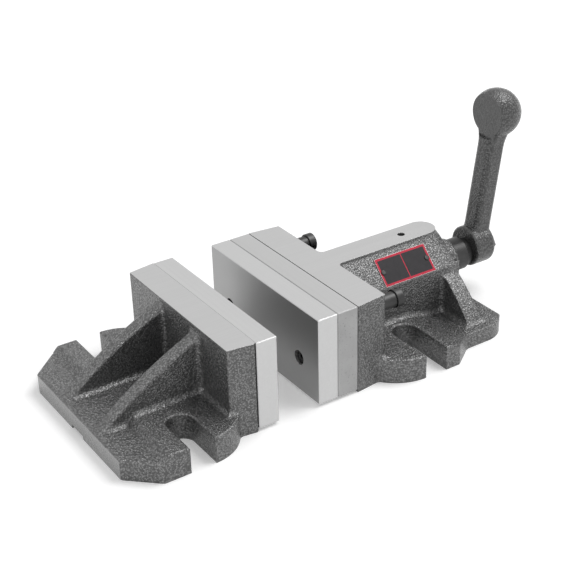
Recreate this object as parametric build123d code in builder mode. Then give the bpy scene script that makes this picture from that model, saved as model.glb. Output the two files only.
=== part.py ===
from build123d import *
from math import atan2, cos, pi, radians, sin, sqrt, tan
import os

# Two-piece milling vise. Two cast units bolt to a machine table and face each other. One carries a
# fixed jaw. The other carries a jaw that a screw and a cranked handle push a short way on two pins.
#
# Frame, in millimetres: Z is up with the table at 0, X runs along the jaws, and Y runs from the fixed
# unit to the screw unit. The origin is on the table, midway between the fixed unit's clamping slots.
# Both units are symmetric about the plane X = 0, apart from the name plate.

# Jaws of both units
JAW_WIDTH = 150.0
JAW_TOP = 74.6
JAW_OPENING = 35.5
JAW_TRAVEL = 17.5
PLATE_THICKNESS = 17.3
PLATE_FOOT = 2.4
PLATE_EDGE = 0.6
END_DRAFT = 3.2
WALL_EDGE = 1.6

# Cap screws that hold the jaw plates
PLATE_SCREW_INSET = 26.0
PLATE_SCREW_HEIGHT = 31.0
COUNTERBORE_RADIUS = 5.9
COUNTERBORE_DEPTH = 9.0
CAP_HEAD_RADIUS = 5.2
CAP_HEAD_HEIGHT = 6.4
CAP_SHANK_RADIUS = 3.2
CAP_SHANK_LENGTH = 18.0
CAP_KEY = 5.0
CAP_KEY_DEPTH = 3.2
FASTENER_EDGE = 0.5

# Bases of both units
BASE_OVERHANG = 14.4
SLOT_WIDTH = 20.2
KEYWAY_WIDTH = 18.0
KEYWAY_DEPTH = 3.0
BASE_EDGE = 1.6
FOOT_RADIUS = 4.5

# Fixed unit, measured from the line of its clamping slots
FIXED_FACE_Y = 72.4
FIXED_WALL_THICKNESS = 22.3
FIXED_BASE_END = 54.1
FIXED_END_INSET = 21.4
FIXED_SLANT_LENGTH = 22.8
SLOT_BESIDE_RIB = 15.9
FIXED_EAR_OVERLAP = 7.2
FIXED_BASE_THICKNESS = 16.5
PAD_RISE = 5.0
PAD_BEHIND_SLOT = 25.6
CORNER_RADIUS = 4.0

# Sloping ribs of the fixed unit
RIB_OFFSET = 26.5
RIB_WIDTH = 12.0
RIB_BELOW_TOP = 1.8
RIB_SHOULDER_DROP = 5.8
RIB_MIDDLE_HEIGHT = 37.2
RIB_MIDDLE_Y = -21.6
RIB_END_SETBACK = 4.8
RIB_TOP_RADIUS = 8.0
RIB_CREST_RADIUS = 2.4

# Screw unit's wall and base, measured back from the wall or forward from the base's end
BLOCK_THICKNESS = 18.3
PARTING_GAP = 0.2
SCREW_WALL_THICKNESS = 26.8
SLOT_BEHIND_WALL = 37.5
SLOT_BESIDE_BODY = 7.5
SCREW_EAR_OVERLAP = 6.0
SCREW_PAD_HEIGHT = 20.0
SCREW_BASE_THICKNESS = 13.0
RAMP_BEHIND_SLOT = 14.0
RAMP_BEFORE_GUSSET = 8.2
BASE_BEHIND_SLOT = 85.3
SCREW_END_INSET = 23.9
EAR_BEHIND_SLOT = 23.5
EAR_CORNER_RADIUS = 3.0
WAIST_INSET = 14.0
WAIST_FRONT_BEFORE_END = 42.3
WAIST_BACK_BEFORE_END = 19.3
WAIST_RADIUS = 9.0

# Body round the screw, with the ground rail on top
RAIL_HALF = 11.8
RAIL_DEPTH = 2.4
BODY_HALF = 32.5
BODY_BEFORE_END = 19.1
BOSS_RADIUS = 16.0
BOSS_BEFORE_END = 2.3
PEDESTAL_HALF = 20.0
PEDESTAL_TOP = 45.0
PEDESTAL_BEFORE_END = 5.3
OIL_HOLE_RADIUS = 3.1
OIL_HOLE_BEHIND_SLOT = 34.0

# Side gussets at the end of the body
GUSSET_THICKNESS = 14.0
GUSSET_BELOW_SHOULDER = 5.5
GUSSET_FOOT_INSET = 23.4
GUSSET_BULGE = 2.0

# Screw, nut and what joins the screw to the moving jaw
SCREW_HEIGHT = 39.0
THREAD_RADIUS = 11.0
SHANK_RADIUS = 13.8
SHANK_IN_BOSS = 11.5
SHANK_BEHIND_BOSS = 14.5
SHANK_CHAMFER = 1.6
NECK_RADIUS = 11.6
NECK_LENGTH = 5.0
NUT_RADIUS = 17.0
NUT_LENGTH = 54.0
NUT_BEFORE_BOSS_END = 32.0
GRUB_LENGTH = 9.0
GRUB_KEY = 3.0
GRUB_KEY_DEPTH = 4.0
NOSE_RADIUS = 10.0
NOSE_LENGTH = 6.0
GROOVE_RADIUS = 7.0
THRUST_PAD_THICKNESS = 3.0
KEEPER_RADIUS = 20.0
KEEPER_THICKNESS = 5.0
KEEPER_SPLIT = 0.6
KEEPER_SCREW_INSET = 6.0
KEEPER_SCREW_COUNT = 4
KEEPER_SCREW_ANGLE = 45.0
KEEPER_SCREW_RADIUS = 1.9
KEEPER_SCREW_HEAD = 3.6
KEEPER_SCREW_TAPER = 45.0
KEEPER_SCREW_DEPTH = 7.0

# Guide pins and their collars
PIN_INSET = 16.6
PIN_HEIGHT = 58.8
PIN_RADIUS = 6.25
PIN_SEAT_DEPTH = 14.0
PIN_END = 0.5
COLLAR_STOP_GAP = 0.3
COLLAR_RADIUS = 7.5
COLLAR_LENGTH = 6.6
COLLAR_EDGE = 0.7
CROSS_PIN_RADIUS = 1.5
CROSS_PIN_BORE = 0.8
CROSS_PIN_RECESS = 0.4
RIGHT_CROSS_PIN_ANGLE = 13.0
LEFT_CROSS_PIN_ANGLE = 82.0

# Handle, upright at rest and cranked away from the body
HUB_RADIUS = 17.2
HUB_RISE = 4.2
HUB_LENGTH = 21.0
HUB_FRONT_EDGE = 2.0
HUB_BACK_EDGE = 4.5
CRANK_LENGTH = 115.0
CRANK_ANGLE = 8.7
ARM_WIDTH = 18.0
ARM_THICKNESS = 17.5
ARM_EDGE = 5.0
HUB_BLEND_RADIUS = 18.0
BALL_BLEND_RADIUS = 30.0
BALL_RADIUS = 20.2
BALL_FLAT_DISTANCE = 10.0
TANG_WIDTH = 16.0
TANG_SHORTFALL = 0.5
WASHER_RADIUS = 11.0
WASHER_THICKNESS = 2.5
END_SCREW_RADIUS = 4.0
END_SCREW_LENGTH = 16.0
END_SCREW_FLATS = 13.0
END_SCREW_HEAD = 5.3

# Blank name plate on the sloping side
NAME_PLATE_LENGTH = 49.8
NAME_PLATE_WIDTH = 24.0
NAME_PLATE_THICKNESS = 0.8
NAME_PLATE_MARGIN = 0.7
NAME_PLATE_BEHIND_WALL = 32.2
RIVET_RADIUS = 1.2
RIVET_HEAD_RADIUS = 2.2
RIVET_HEAD_HEIGHT = 0.9
RIVET_HEAD_FLAT = 0.1
RIVET_DEPTH = 5.0
RIVET_INSET = 3.2

# Clearances, on the radius for round fits
RUNNING_FIT = 0.04
TIGHT_FIT = 0.01
SCREW_FIT = 0.05
LOOSE_FIT = 0.3

# How near an edge lies to a place by which it is picked
NEAR = 0.05

# Places that follow from the sizes above
base_half = JAW_WIDTH / 2 + BASE_OVERHANG
fixed_wall_front = FIXED_FACE_Y - PLATE_THICKNESS
fixed_wall_back = fixed_wall_front - FIXED_WALL_THICKNESS
fixed_pad_top = FIXED_BASE_THICKNESS + PAD_RISE
moving_face = FIXED_FACE_Y + JAW_OPENING
block_front = moving_face + PLATE_THICKNESS
block_back = block_front + BLOCK_THICKNESS
wall_front = block_back + PARTING_GAP
wall_back = wall_front + SCREW_WALL_THICKNESS
slot_line = wall_back + SLOT_BEHIND_WALL
base_end = slot_line + BASE_BEHIND_SLOT
body_end = base_end - BODY_BEFORE_END
boss_end = base_end - BOSS_BEFORE_END
pedestal_end = base_end - PEDESTAL_BEFORE_END
gusset_front = body_end - GUSSET_THICKNESS
gusset_foot = base_half - GUSSET_FOOT_INSET
nut_back = boss_end - NUT_BEFORE_BOSS_END
nut_front = nut_back - NUT_LENGTH
shank_front = boss_end - SHANK_IN_BOSS
shank_back = boss_end + SHANK_BEHIND_BOSS
hub_front = shank_back + NECK_LENGTH
hub_back = hub_front + HUB_LENGTH
keeper_back = block_back - LOOSE_FIT
keeper_front = keeper_back - KEEPER_THICKNESS
keeper_screw_circle = KEEPER_RADIUS - KEEPER_SCREW_INSET
nose_back = keeper_front - SCREW_FIT
nose_front = nose_back - NOSE_LENGTH
thread_front = keeper_back + SCREW_FIT
thrust_front = nose_front - SCREW_FIT - THRUST_PAD_THICKNESS
collar_front = wall_back + JAW_TRAVEL + COLLAR_STOP_GAP
collar_back = collar_front + COLLAR_LENGTH
plate_screw_depth = CAP_SHANK_LENGTH - (PLATE_THICKNESS - COUNTERBORE_DEPTH) + LOOSE_FIT

# Places of paired holes on an upright plane, seen along the vise
plate_screw_offset = JAW_WIDTH / 2 - PLATE_SCREW_INSET
plate_screw_places = ((plate_screw_offset, PLATE_SCREW_HEIGHT), (-plate_screw_offset, PLATE_SCREW_HEIGHT))
pin_offset = JAW_WIDTH / 2 - PIN_INSET
pin_places = ((pin_offset, PIN_HEIGHT), (-pin_offset, PIN_HEIGHT))

# The sides of the body slope at 45 degrees from the foot of the rail out to the shoulder
rail_foot = JAW_TOP - RAIL_DEPTH
shoulder_height = rail_foot - (BODY_HALF - RAIL_HALF)
gusset_top = shoulder_height - GUSSET_BELOW_SHOULDER


def facing_back(y, z=0.0):
    """Upright plane across the vise that faces the handle."""
    return Plane(origin=(0, y, z), x_dir=(-1, 0, 0), z_dir=(0, 1, 0))


def facing_front(y, z=0.0):
    """Upright plane across the vise that faces the fixed unit."""
    return Plane(origin=(0, y, z), x_dir=(1, 0, 0), z_dir=(0, -1, 0))


def jaw_wall(front, back):
    """Plan of a cast wall, which is a little narrower at its back than at its plate."""
    half = JAW_WIDTH / 2
    with BuildSketch() as plan:
        with BuildLine():
            Polyline(
                (half, front),
                (half - END_DRAFT, back),
                (END_DRAFT - half, back),
                (-half, front),
                close=True,
            )
        make_face()
    return plan.sketch


def clamping_slots(line, reach):
    """Plan of two slots that are open at the base's sides and round at their inner ends."""
    with BuildSketch() as plan:
        with Locations((base_half, line), (-base_half, line)):
            SlotOverall(2 * (base_half - reach), SLOT_WIDTH)
    return plan.sketch


def both_sides(half_plan):
    """The whole of a plan that is drawn on the side of positive X."""
    with BuildSketch() as plan:
        add(half_plan)
        mirror(about=Plane.YZ)
    return plan.sketch


def level_edges(part, height):
    """The outward corners of a part that run along a flat top at the given height."""
    level = part.edges().filter_by_position(Axis.Z, height - NEAR, height + NEAR)
    flat = level.filter_by(lambda edge: edge.bounding_box().size.Z < NEAR)
    return flat.filter_by(Edge.is_interior, reverse=True)


def keyway(front, back):
    """Plan of the key groove along the middle of an underside."""
    with BuildSketch() as plan:
        with Locations((0, (front + back) / 2)):
            Rectangle(KEYWAY_WIDTH, abs(back - front))
    return plan.sketch


# Fixed unit: half of its base, from the end edge round the slanted corner and the ear to the wall
ear_setback = END_DRAFT * (1 - FIXED_EAR_OVERLAP / FIXED_WALL_THICKNESS)
ear_end = (JAW_WIDTH / 2 - ear_setback, fixed_wall_back + FIXED_EAR_OVERLAP)
with BuildSketch() as fixed_half:
    with BuildLine():
        outer = FilletPolyline(
            (0, -FIXED_BASE_END),
            (base_half - FIXED_END_INSET, -FIXED_BASE_END),
            (base_half, FIXED_SLANT_LENGTH - FIXED_BASE_END),
            (base_half, SLOT_WIDTH / 2),
            radius=CORNER_RADIUS,
        )
        TangentArc(outer @ 1, ear_end, tangent=(0, 1))
        Polyline(ear_end, (0, ear_end[1]), outer @ 0)
    make_face()
fixed_plan = both_sides(fixed_half.sketch)

# One sloping rib on the plane X = 0: its crest sags a little and turns up where it meets the wall
rib_end = RIB_END_SETBACK - FIXED_BASE_END
rib_wall_height = JAW_TOP - RIB_BELOW_TOP
rib_shoulder_height = rib_wall_height - RIB_SHOULDER_DROP
with BuildPart() as rib:
    with BuildSketch(Plane.YZ):
        with BuildLine():
            crest = ThreePointArc(
                (rib_end, FIXED_BASE_THICKNESS),
                (RIB_MIDDLE_Y, RIB_MIDDLE_HEIGHT),
                (fixed_wall_back, rib_shoulder_height),
            )
            Polyline(
                crest @ 1,
                (fixed_wall_back, rib_wall_height),
                (fixed_wall_front, rib_wall_height),
                (fixed_wall_front, 0),
                (rib_end, 0),
                crest @ 0,
            )
        make_face()
    extrude(amount=RIB_WIDTH / 2, both=True)
    shoulder = rib.edges().filter_by(Axis.X).sort_by_distance((0, fixed_wall_back, rib_shoulder_height))[0]
    # The round at the shoulder is never larger than the step of the rib leaves room for.
    slope = crest % 1
    half_corner = pi / 4 + atan2(slope.Y, slope.X) / 2
    fillet(shoulder, min(RIB_TOP_RADIUS, (RIB_SHOULDER_DROP - NEAR) * tan(half_corner)))
    fillet(rib.edges().filter_by(GeomType.CIRCLE), RIB_CREST_RADIUS)


def ribbed_wall(thickness):
    """The wall, both ribs and a slotted base of the given thickness, with its corners rounded."""
    with BuildPart() as casting:
        add(fixed_plan)
        extrude(amount=thickness)
        add(jaw_wall(fixed_wall_front, fixed_wall_back))
        extrude(amount=JAW_TOP)
        with Locations((RIB_OFFSET, 0), (-RIB_OFFSET, 0)):
            add(rib.part)
        fillet(casting.edges().filter_by(Edge.is_interior), FOOT_RADIUS)
        add(clamping_slots(0, RIB_OFFSET + RIB_WIDTH / 2 + SLOT_BESIDE_RIB))
        extrude(amount=thickness, mode=Mode.SUBTRACT)
        fillet(level_edges(casting, thickness), BASE_EDGE)
    return casting.part


# The room of the raised pads: outside the ribs, from a slope behind the slots forward to the wall
pad_room_rise = 4 * PAD_RISE
with BuildPart() as pad_room:
    with BuildSketch(Plane.YZ.offset(RIB_OFFSET)):
        with BuildLine():
            Polyline(
                (-PAD_BEHIND_SLOT - PAD_RISE, 0),
                (-PAD_BEHIND_SLOT - PAD_RISE, FIXED_BASE_THICKNESS),
                (-PAD_BEHIND_SLOT - PAD_RISE + pad_room_rise, FIXED_BASE_THICKNESS + pad_room_rise),
                (fixed_wall_front, FIXED_BASE_THICKNESS + pad_room_rise),
                (fixed_wall_front, 0),
                close=True,
            )
        make_face()
    extrude(amount=base_half - RIB_OFFSET)
    mirror(about=Plane.YZ)

with BuildPart() as fixed_jaw_casting:
    add(ribbed_wall(fixed_pad_top))
    add(pad_room.part, mode=Mode.INTERSECT)
    add(ribbed_wall(FIXED_BASE_THICKNESS))
    add(keyway(-FIXED_BASE_END, fixed_wall_front))
    extrude(amount=KEYWAY_DEPTH, mode=Mode.SUBTRACT)
    plate_edges = fixed_jaw_casting.edges().filter_by(Axis.Z).sort_by(Axis.Y)[-2:]
    chamfer(plate_edges, WALL_EDGE)
    with Locations(facing_back(fixed_wall_front)):
        with Locations(*plate_screw_places):
            Hole(CAP_SHANK_RADIUS + SCREW_FIT, plate_screw_depth)
fixed_jaw_casting.part.label = "fixed_jaw_casting"

# Screw unit: half of its base, from the wall round the front ear, and past the rear ear to the end
with BuildSketch() as screw_half:
    with BuildLine():
        front_start = (JAW_WIDTH / 2 - END_DRAFT, wall_back - SCREW_EAR_OVERLAP)
        front_ear = TangentArc((base_half, slot_line - SLOT_WIDTH / 2), front_start, tangent=(0, -1))
        rear_side = FilletPolyline(
            front_ear @ 0,
            (base_half, slot_line + EAR_BEHIND_SLOT),
            (base_half - WAIST_INSET, base_end - WAIST_FRONT_BEFORE_END),
            (base_half - WAIST_INSET, base_end - WAIST_BACK_BEFORE_END),
            radius=(EAR_CORNER_RADIUS, WAIST_RADIUS),
        )
        rear_arc = TangentArc(rear_side @ 1, (base_half - SCREW_END_INSET, base_end), tangent=(0, 1))
        Polyline(rear_arc @ 1, (0, base_end), (0, front_start[1]), front_start)
    make_face()
screw_plan = both_sides(screw_half.sketch)

# Body round the screw: its section is like a house, with a ground rail as its ridge. The slopes run on
# round the rail's round end as a cone.
with BuildSketch() as body_section:
    with BuildLine():
        Polyline(
            (0, 0),
            (BODY_HALF, 0),
            (BODY_HALF, shoulder_height),
            (RAIL_HALF, rail_foot),
            (0, rail_foot),
            close=True,
        )
    make_face()
    mirror(about=Plane.YZ)
rail_round = body_end - RAIL_HALF
with BuildPart() as screw_body:
    with BuildSketch(facing_back(rail_round)):
        add(body_section.sketch)
    extrude(amount=body_end - rail_round)
    with Locations((0, rail_round, 0)):
        Cone(
            RAIL_HALF + rail_foot,
            RAIL_HALF,
            rail_foot,
            align=(Align.CENTER, Align.CENTER, Align.MIN),
            mode=Mode.INTERSECT,
        )
    with BuildSketch(facing_back(wall_back)):
        add(body_section.sketch)
    extrude(amount=rail_round - wall_back)
    with BuildSketch(Plane.XY.offset(rail_foot)):
        with BuildLine():
            rail_side = Line((RAIL_HALF, wall_back), (RAIL_HALF, rail_round))
            rail_end = TangentArc(rail_side @ 1, (-RAIL_HALF, rail_round), tangent=(0, 1))
            Polyline(rail_end @ 1, (-RAIL_HALF, wall_back), rail_side @ 0)
        make_face()
    extrude(amount=RAIL_DEPTH)

# The plane of the sloping side on positive X, centred on the name plate and facing outward
plate_up_slope = (NAME_PLATE_MARGIN + NAME_PLATE_WIDTH / 2) * sin(radians(45))
slope = Plane(
    origin=(
        BODY_HALF - plate_up_slope,
        wall_back + NAME_PLATE_BEHIND_WALL + NAME_PLATE_LENGTH / 2,
        shoulder_height + plate_up_slope,
    ),
    x_dir=(0, 1, 0),
    z_dir=(1, 0, 1),
)
rivet_offset = NAME_PLATE_LENGTH / 2 - RIVET_INSET
rivet_places = ((rivet_offset, 0), (-rivet_offset, 0))

with BuildPart() as screw_unit_body:
    add(screw_plan)
    extrude(amount=SCREW_PAD_HEIGHT)
    # The base gets thinner behind the slots
    with BuildSketch(Plane.YZ):
        with BuildLine():
            Polyline(
                (slot_line + RAMP_BEHIND_SLOT, SCREW_PAD_HEIGHT),
                (gusset_front - RAMP_BEFORE_GUSSET, SCREW_BASE_THICKNESS),
                (base_end, SCREW_BASE_THICKNESS),
                (base_end, SCREW_PAD_HEIGHT),
                close=True,
            )
        make_face()
    extrude(amount=base_half, both=True, mode=Mode.SUBTRACT)
    add(jaw_wall(wall_front, wall_back))
    extrude(amount=JAW_TOP)
    add(screw_body.part)
    # Two gussets with slightly bulging crests prop the end of the body against the base
    with BuildSketch(facing_back(gusset_front)):
        with BuildLine():
            crest = SagittaArc((gusset_foot, SCREW_BASE_THICKNESS), (BODY_HALF, gusset_top), -GUSSET_BULGE)
            Polyline(crest @ 1, (0, gusset_top), (0, 0), (gusset_foot, 0), crest @ 0)
        make_face()
        mirror(about=Plane.YZ)
    extrude(amount=GUSSET_THICKNESS)
    # A pedestal carries the boss behind the body
    with BuildSketch(facing_back(wall_back)):
        with Locations((0, PEDESTAL_TOP / 2)):
            Rectangle(2 * PEDESTAL_HALF, PEDESTAL_TOP)
    extrude(amount=pedestal_end - wall_back)
    inner = screw_unit_body.edges().filter_by(Edge.is_interior)
    # The rail's foot stays sharp
    below_rail = inner.filter_by(
        lambda edge: edge.center().Z < rail_foot - NEAR or edge.center().Y < wall_back + NEAR
    )
    # The base's outline behind the wall is smooth, so its upright seams are no corners
    corners = below_rail.filter_by(
        lambda edge: edge.bounding_box().size.Z < edge.length - NEAR
        or abs(edge.center().X) < BODY_HALF + NEAR
        or edge.center().Y < wall_back + NEAR
    )
    fillet(corners, FOOT_RADIUS)
    with BuildSketch(facing_back(wall_back, SCREW_HEIGHT)):
        Circle(BOSS_RADIUS)
    extrude(amount=boss_end - wall_back)
    add(clamping_slots(slot_line, BODY_HALF + SLOT_BESIDE_BODY))
    extrude(amount=SCREW_PAD_HEIGHT, mode=Mode.SUBTRACT)
    fillet(level_edges(screw_unit_body, SCREW_PAD_HEIGHT), BASE_EDGE)
    add(keyway(wall_front, base_end))
    extrude(amount=KEYWAY_DEPTH, mode=Mode.SUBTRACT)
    # The nut goes in from the front, up to the step before the bore of the screw's shank
    with Locations(facing_front(wall_front)):
        with Locations((0, SCREW_HEIGHT)):
            Hole(NUT_RADIUS + TIGHT_FIT, nut_back - wall_front)
        with Locations(*pin_places):
            Hole(PIN_RADIUS + RUNNING_FIT, SCREW_WALL_THICKNESS)
    with Locations(facing_back(boss_end, SCREW_HEIGHT)):
        Hole(SHANK_RADIUS + RUNNING_FIT, boss_end - nut_back)
    with Locations((0, slot_line + OIL_HOLE_BEHIND_SLOT, JAW_TOP)):
        Hole(OIL_HOLE_RADIUS, JAW_TOP - SCREW_HEIGHT)
    with Locations(slope):
        with Locations(*rivet_places):
            Hole(RIVET_RADIUS + TIGHT_FIT, RIVET_DEPTH)
screw_unit_body.part.label = "screw_unit_body"


def jaw_plate(face):
    """A ground plate with two counterbored holes, whose gripping side lies on the given plane."""
    with BuildPart() as plate:
        with BuildSketch(face):
            with Locations((0, (PLATE_FOOT + JAW_TOP) / 2)):
                Rectangle(JAW_WIDTH, JAW_TOP - PLATE_FOOT)
        extrude(amount=-PLATE_THICKNESS)
        chamfer(plate.edges(), PLATE_EDGE)
        with Locations(face):
            with Locations(*plate_screw_places):
                CounterBoreHole(CAP_SHANK_RADIUS + LOOSE_FIT, COUNTERBORE_RADIUS, COUNTERBORE_DEPTH)
    return plate.part


def cap_screws(face):
    """The two cap screws of a plate, with their heads on the counterbores' floors."""
    with BuildPart() as screws:
        with BuildSketch(face.offset(-COUNTERBORE_DEPTH)):
            with Locations(*plate_screw_places):
                Circle(CAP_HEAD_RADIUS)
        extrude(amount=CAP_HEAD_HEIGHT)
        chamfer(screws.edges().filter_by(GeomType.CIRCLE), FASTENER_EDGE)
        with BuildSketch(face.offset(-COUNTERBORE_DEPTH)):
            with Locations(*plate_screw_places):
                Circle(CAP_SHANK_RADIUS)
        extrude(amount=-CAP_SHANK_LENGTH)
        with BuildSketch(face.offset(CAP_HEAD_HEIGHT - COUNTERBORE_DEPTH)):
            with Locations(*plate_screw_places):
                RegularPolygon(CAP_KEY / 2, 6, major_radius=False)
        extrude(amount=-CAP_KEY_DEPTH, mode=Mode.SUBTRACT)
    return screws.part


fixed_face = facing_back(FIXED_FACE_Y)
fixed_jaw_plate = jaw_plate(fixed_face)
fixed_jaw_plate.label = "fixed_jaw_plate"
fixed_plate_screws = cap_screws(fixed_face)
fixed_plate_screws.label = "fixed_plate_screws"

gripping_face = facing_front(moving_face)
moving_jaw_plate = jaw_plate(gripping_face)
moving_jaw_plate.label = "moving_jaw_plate"
moving_plate_screws = cap_screws(gripping_face)
moving_plate_screws.label = "moving_plate_screws"

# Block behind the moving plate, with seats for the pins and a stepped bore for the screw's nose
with BuildPart() as moving_jaw_block:
    with BuildSketch(facing_front(block_front)):
        with Locations((0, (PLATE_FOOT + JAW_TOP) / 2)):
            Rectangle(JAW_WIDTH, JAW_TOP - PLATE_FOOT)
    extrude(amount=-BLOCK_THICKNESS)
    chamfer(moving_jaw_block.edges(), PLATE_EDGE)
    with Locations(facing_front(block_front)):
        with Locations(*plate_screw_places):
            Hole(CAP_SHANK_RADIUS + SCREW_FIT, plate_screw_depth)
    with Locations(facing_back(block_back)):
        with Locations(*pin_places):
            Hole(PIN_RADIUS + TIGHT_FIT, PIN_SEAT_DEPTH)
    with Locations(facing_back(block_back, SCREW_HEIGHT)):
        Hole(KEEPER_RADIUS + LOOSE_FIT, block_back - keeper_front)
        Hole(NOSE_RADIUS + LOOSE_FIT, block_back - thrust_front)
        with PolarLocations(keeper_screw_circle, KEEPER_SCREW_COUNT, KEEPER_SCREW_ANGLE):
            Hole(KEEPER_SCREW_RADIUS + SCREW_FIT, KEEPER_SCREW_DEPTH + 2 * LOOSE_FIT)
moving_jaw_block.part.label = "moving_jaw_block"

# Hard disc that the screw's nose pushes on
with BuildPart() as thrust_pad:
    with BuildSketch(facing_back(thrust_front, SCREW_HEIGHT)):
        Circle(NOSE_RADIUS + LOOSE_FIT - SCREW_FIT)
    extrude(amount=THRUST_PAD_THICKNESS)
thrust_pad.part.label = "thrust_pad"

# Split ring in the groove behind the nose, which draws the jaw back
with BuildPart() as screw_keeper:
    with BuildSketch(facing_back(keeper_front, SCREW_HEIGHT)):
        Circle(KEEPER_RADIUS)
        Circle(GROOVE_RADIUS + LOOSE_FIT, mode=Mode.SUBTRACT)
        Rectangle(KEEPER_SPLIT, 2 * KEEPER_RADIUS, mode=Mode.SUBTRACT)
    extrude(amount=KEEPER_THICKNESS)
    with Locations(facing_back(keeper_back, SCREW_HEIGHT)):
        with PolarLocations(keeper_screw_circle, KEEPER_SCREW_COUNT, KEEPER_SCREW_ANGLE):
            CounterSinkHole(
                KEEPER_SCREW_RADIUS + SCREW_FIT,
                KEEPER_SCREW_HEAD + SCREW_FIT,
                counter_sink_angle=2 * KEEPER_SCREW_TAPER,
            )
screw_keeper.part.label = "screw_keeper"

with BuildPart() as keeper_screws:
    with Locations(facing_back(keeper_back, SCREW_HEIGHT)):
        with PolarLocations(keeper_screw_circle, KEEPER_SCREW_COUNT, KEEPER_SCREW_ANGLE):
            Cylinder(
                KEEPER_SCREW_RADIUS,
                KEEPER_SCREW_DEPTH,
                align=(Align.CENTER, Align.CENTER, Align.MAX),
            )
            Cone(
                KEEPER_SCREW_RADIUS,
                KEEPER_SCREW_HEAD,
                (KEEPER_SCREW_HEAD - KEEPER_SCREW_RADIUS) / tan(radians(KEEPER_SCREW_TAPER)),
                align=(Align.CENTER, Align.CENTER, Align.MAX),
            )
keeper_screws.part.label = "keeper_screws"

# Screw: nose, groove, thread and shank are one turned shape, with a square tang for the handle
screw_axis = Axis((0, 0, SCREW_HEIGHT), (0, 1, 0))
with BuildPart() as lead_screw:
    with BuildSketch(Plane.YZ):
        with BuildLine():
            Polyline(
                (nose_front, SCREW_HEIGHT),
                (nose_front, SCREW_HEIGHT + NOSE_RADIUS),
                (nose_back, SCREW_HEIGHT + NOSE_RADIUS),
                (nose_back, SCREW_HEIGHT + GROOVE_RADIUS),
                (thread_front, SCREW_HEIGHT + GROOVE_RADIUS),
                (thread_front, SCREW_HEIGHT + THREAD_RADIUS),
                (shank_front, SCREW_HEIGHT + THREAD_RADIUS),
                (shank_front, SCREW_HEIGHT + SHANK_RADIUS),
                (shank_back - SHANK_CHAMFER, SCREW_HEIGHT + SHANK_RADIUS),
                (shank_back, SCREW_HEIGHT + SHANK_RADIUS - SHANK_CHAMFER),
                (shank_back, SCREW_HEIGHT + NECK_RADIUS),
                (hub_front, SCREW_HEIGHT + NECK_RADIUS),
                (hub_front, SCREW_HEIGHT),
                close=True,
            )
        make_face()
    revolve(axis=screw_axis)
    with BuildSketch(facing_back(hub_front, SCREW_HEIGHT)):
        Rectangle(TANG_WIDTH, TANG_WIDTH)
    extrude(amount=HUB_LENGTH - TANG_SHORTFALL)
    with Locations(facing_back(hub_back - TANG_SHORTFALL, SCREW_HEIGHT)):
        Hole(END_SCREW_RADIUS + SCREW_FIT, END_SCREW_LENGTH)
lead_screw.part.label = "lead_screw"

# Threaded bush, held by a set screw under the hole in the rail
with BuildPart() as screw_nut:
    with BuildSketch(facing_back(nut_front, SCREW_HEIGHT)):
        Circle(NUT_RADIUS)
        Circle(THREAD_RADIUS + SCREW_FIT, mode=Mode.SUBTRACT)
    extrude(amount=NUT_LENGTH)
screw_nut.part.label = "screw_nut"

with BuildPart() as nut_set_screw:
    with Locations((0, slot_line + OIL_HOLE_BEHIND_SLOT, SCREW_HEIGHT + NUT_RADIUS + TIGHT_FIT)):
        Cylinder(
            OIL_HOLE_RADIUS - SCREW_FIT, GRUB_LENGTH, align=(Align.CENTER, Align.CENTER, Align.MIN)
        )
    chamfer(nut_set_screw.edges().filter_by(GeomType.CIRCLE), FASTENER_EDGE)
    with BuildSketch(nut_set_screw.faces().sort_by(Axis.Z)[-1]):
        RegularPolygon(GRUB_KEY / 2, 6, major_radius=False)
    extrude(amount=-GRUB_KEY_DEPTH, mode=Mode.SUBTRACT)
nut_set_screw.part.label = "nut_set_screw"


def cross_place(place, angle):
    """Plane square to a collar's cross pin, at the pin's middle."""
    x, z = place
    return Plane(
        origin=(-x, (collar_front + collar_back) / 2, z),
        x_dir=(0, 1, 0),
        z_dir=(-sin(radians(angle)), 0, cos(radians(angle))),
    )


def guide_pin(place, cross_angle):
    """Pin from its seat in the jaw block, through the wall, to the end of its collar."""
    with BuildPart() as pin:
        with BuildSketch(facing_back(block_back - PIN_SEAT_DEPTH)):
            with Locations(place):
                Circle(PIN_RADIUS)
        extrude(amount=PIN_SEAT_DEPTH + collar_back + PIN_END - block_back)
        chamfer(pin.edges().filter_by(GeomType.CIRCLE), FASTENER_EDGE)
        with Locations(cross_place(place, cross_angle)):
            Hole(CROSS_PIN_RADIUS + TIGHT_FIT)
    return pin.part


def guide_collar(place, cross_angle):
    """Ring on a pin's back end, which stops the pin at the wall."""
    with BuildPart() as collar:
        with BuildSketch(facing_back(collar_front)):
            with Locations(place):
                Circle(COLLAR_RADIUS)
        extrude(amount=COLLAR_LENGTH)
        fillet(collar.edges().filter_by(GeomType.CIRCLE), COLLAR_EDGE)
        with BuildSketch(facing_back(collar_front)):
            with Locations(place):
                Circle(PIN_RADIUS + TIGHT_FIT)
        extrude(amount=COLLAR_LENGTH, mode=Mode.SUBTRACT)
        with Locations(cross_place(place, cross_angle)):
            Hole(CROSS_PIN_RADIUS + TIGHT_FIT)
    return collar.part


def collar_pin(place, angle):
    """Slotted spring pin through a collar and its guide pin."""
    with BuildPart() as pin:
        with BuildSketch(cross_place(place, angle)):
            Circle(CROSS_PIN_RADIUS)
            Circle(CROSS_PIN_BORE, mode=Mode.SUBTRACT)
        extrude(amount=COLLAR_RADIUS - CROSS_PIN_RECESS, both=True)
    return pin.part


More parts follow.
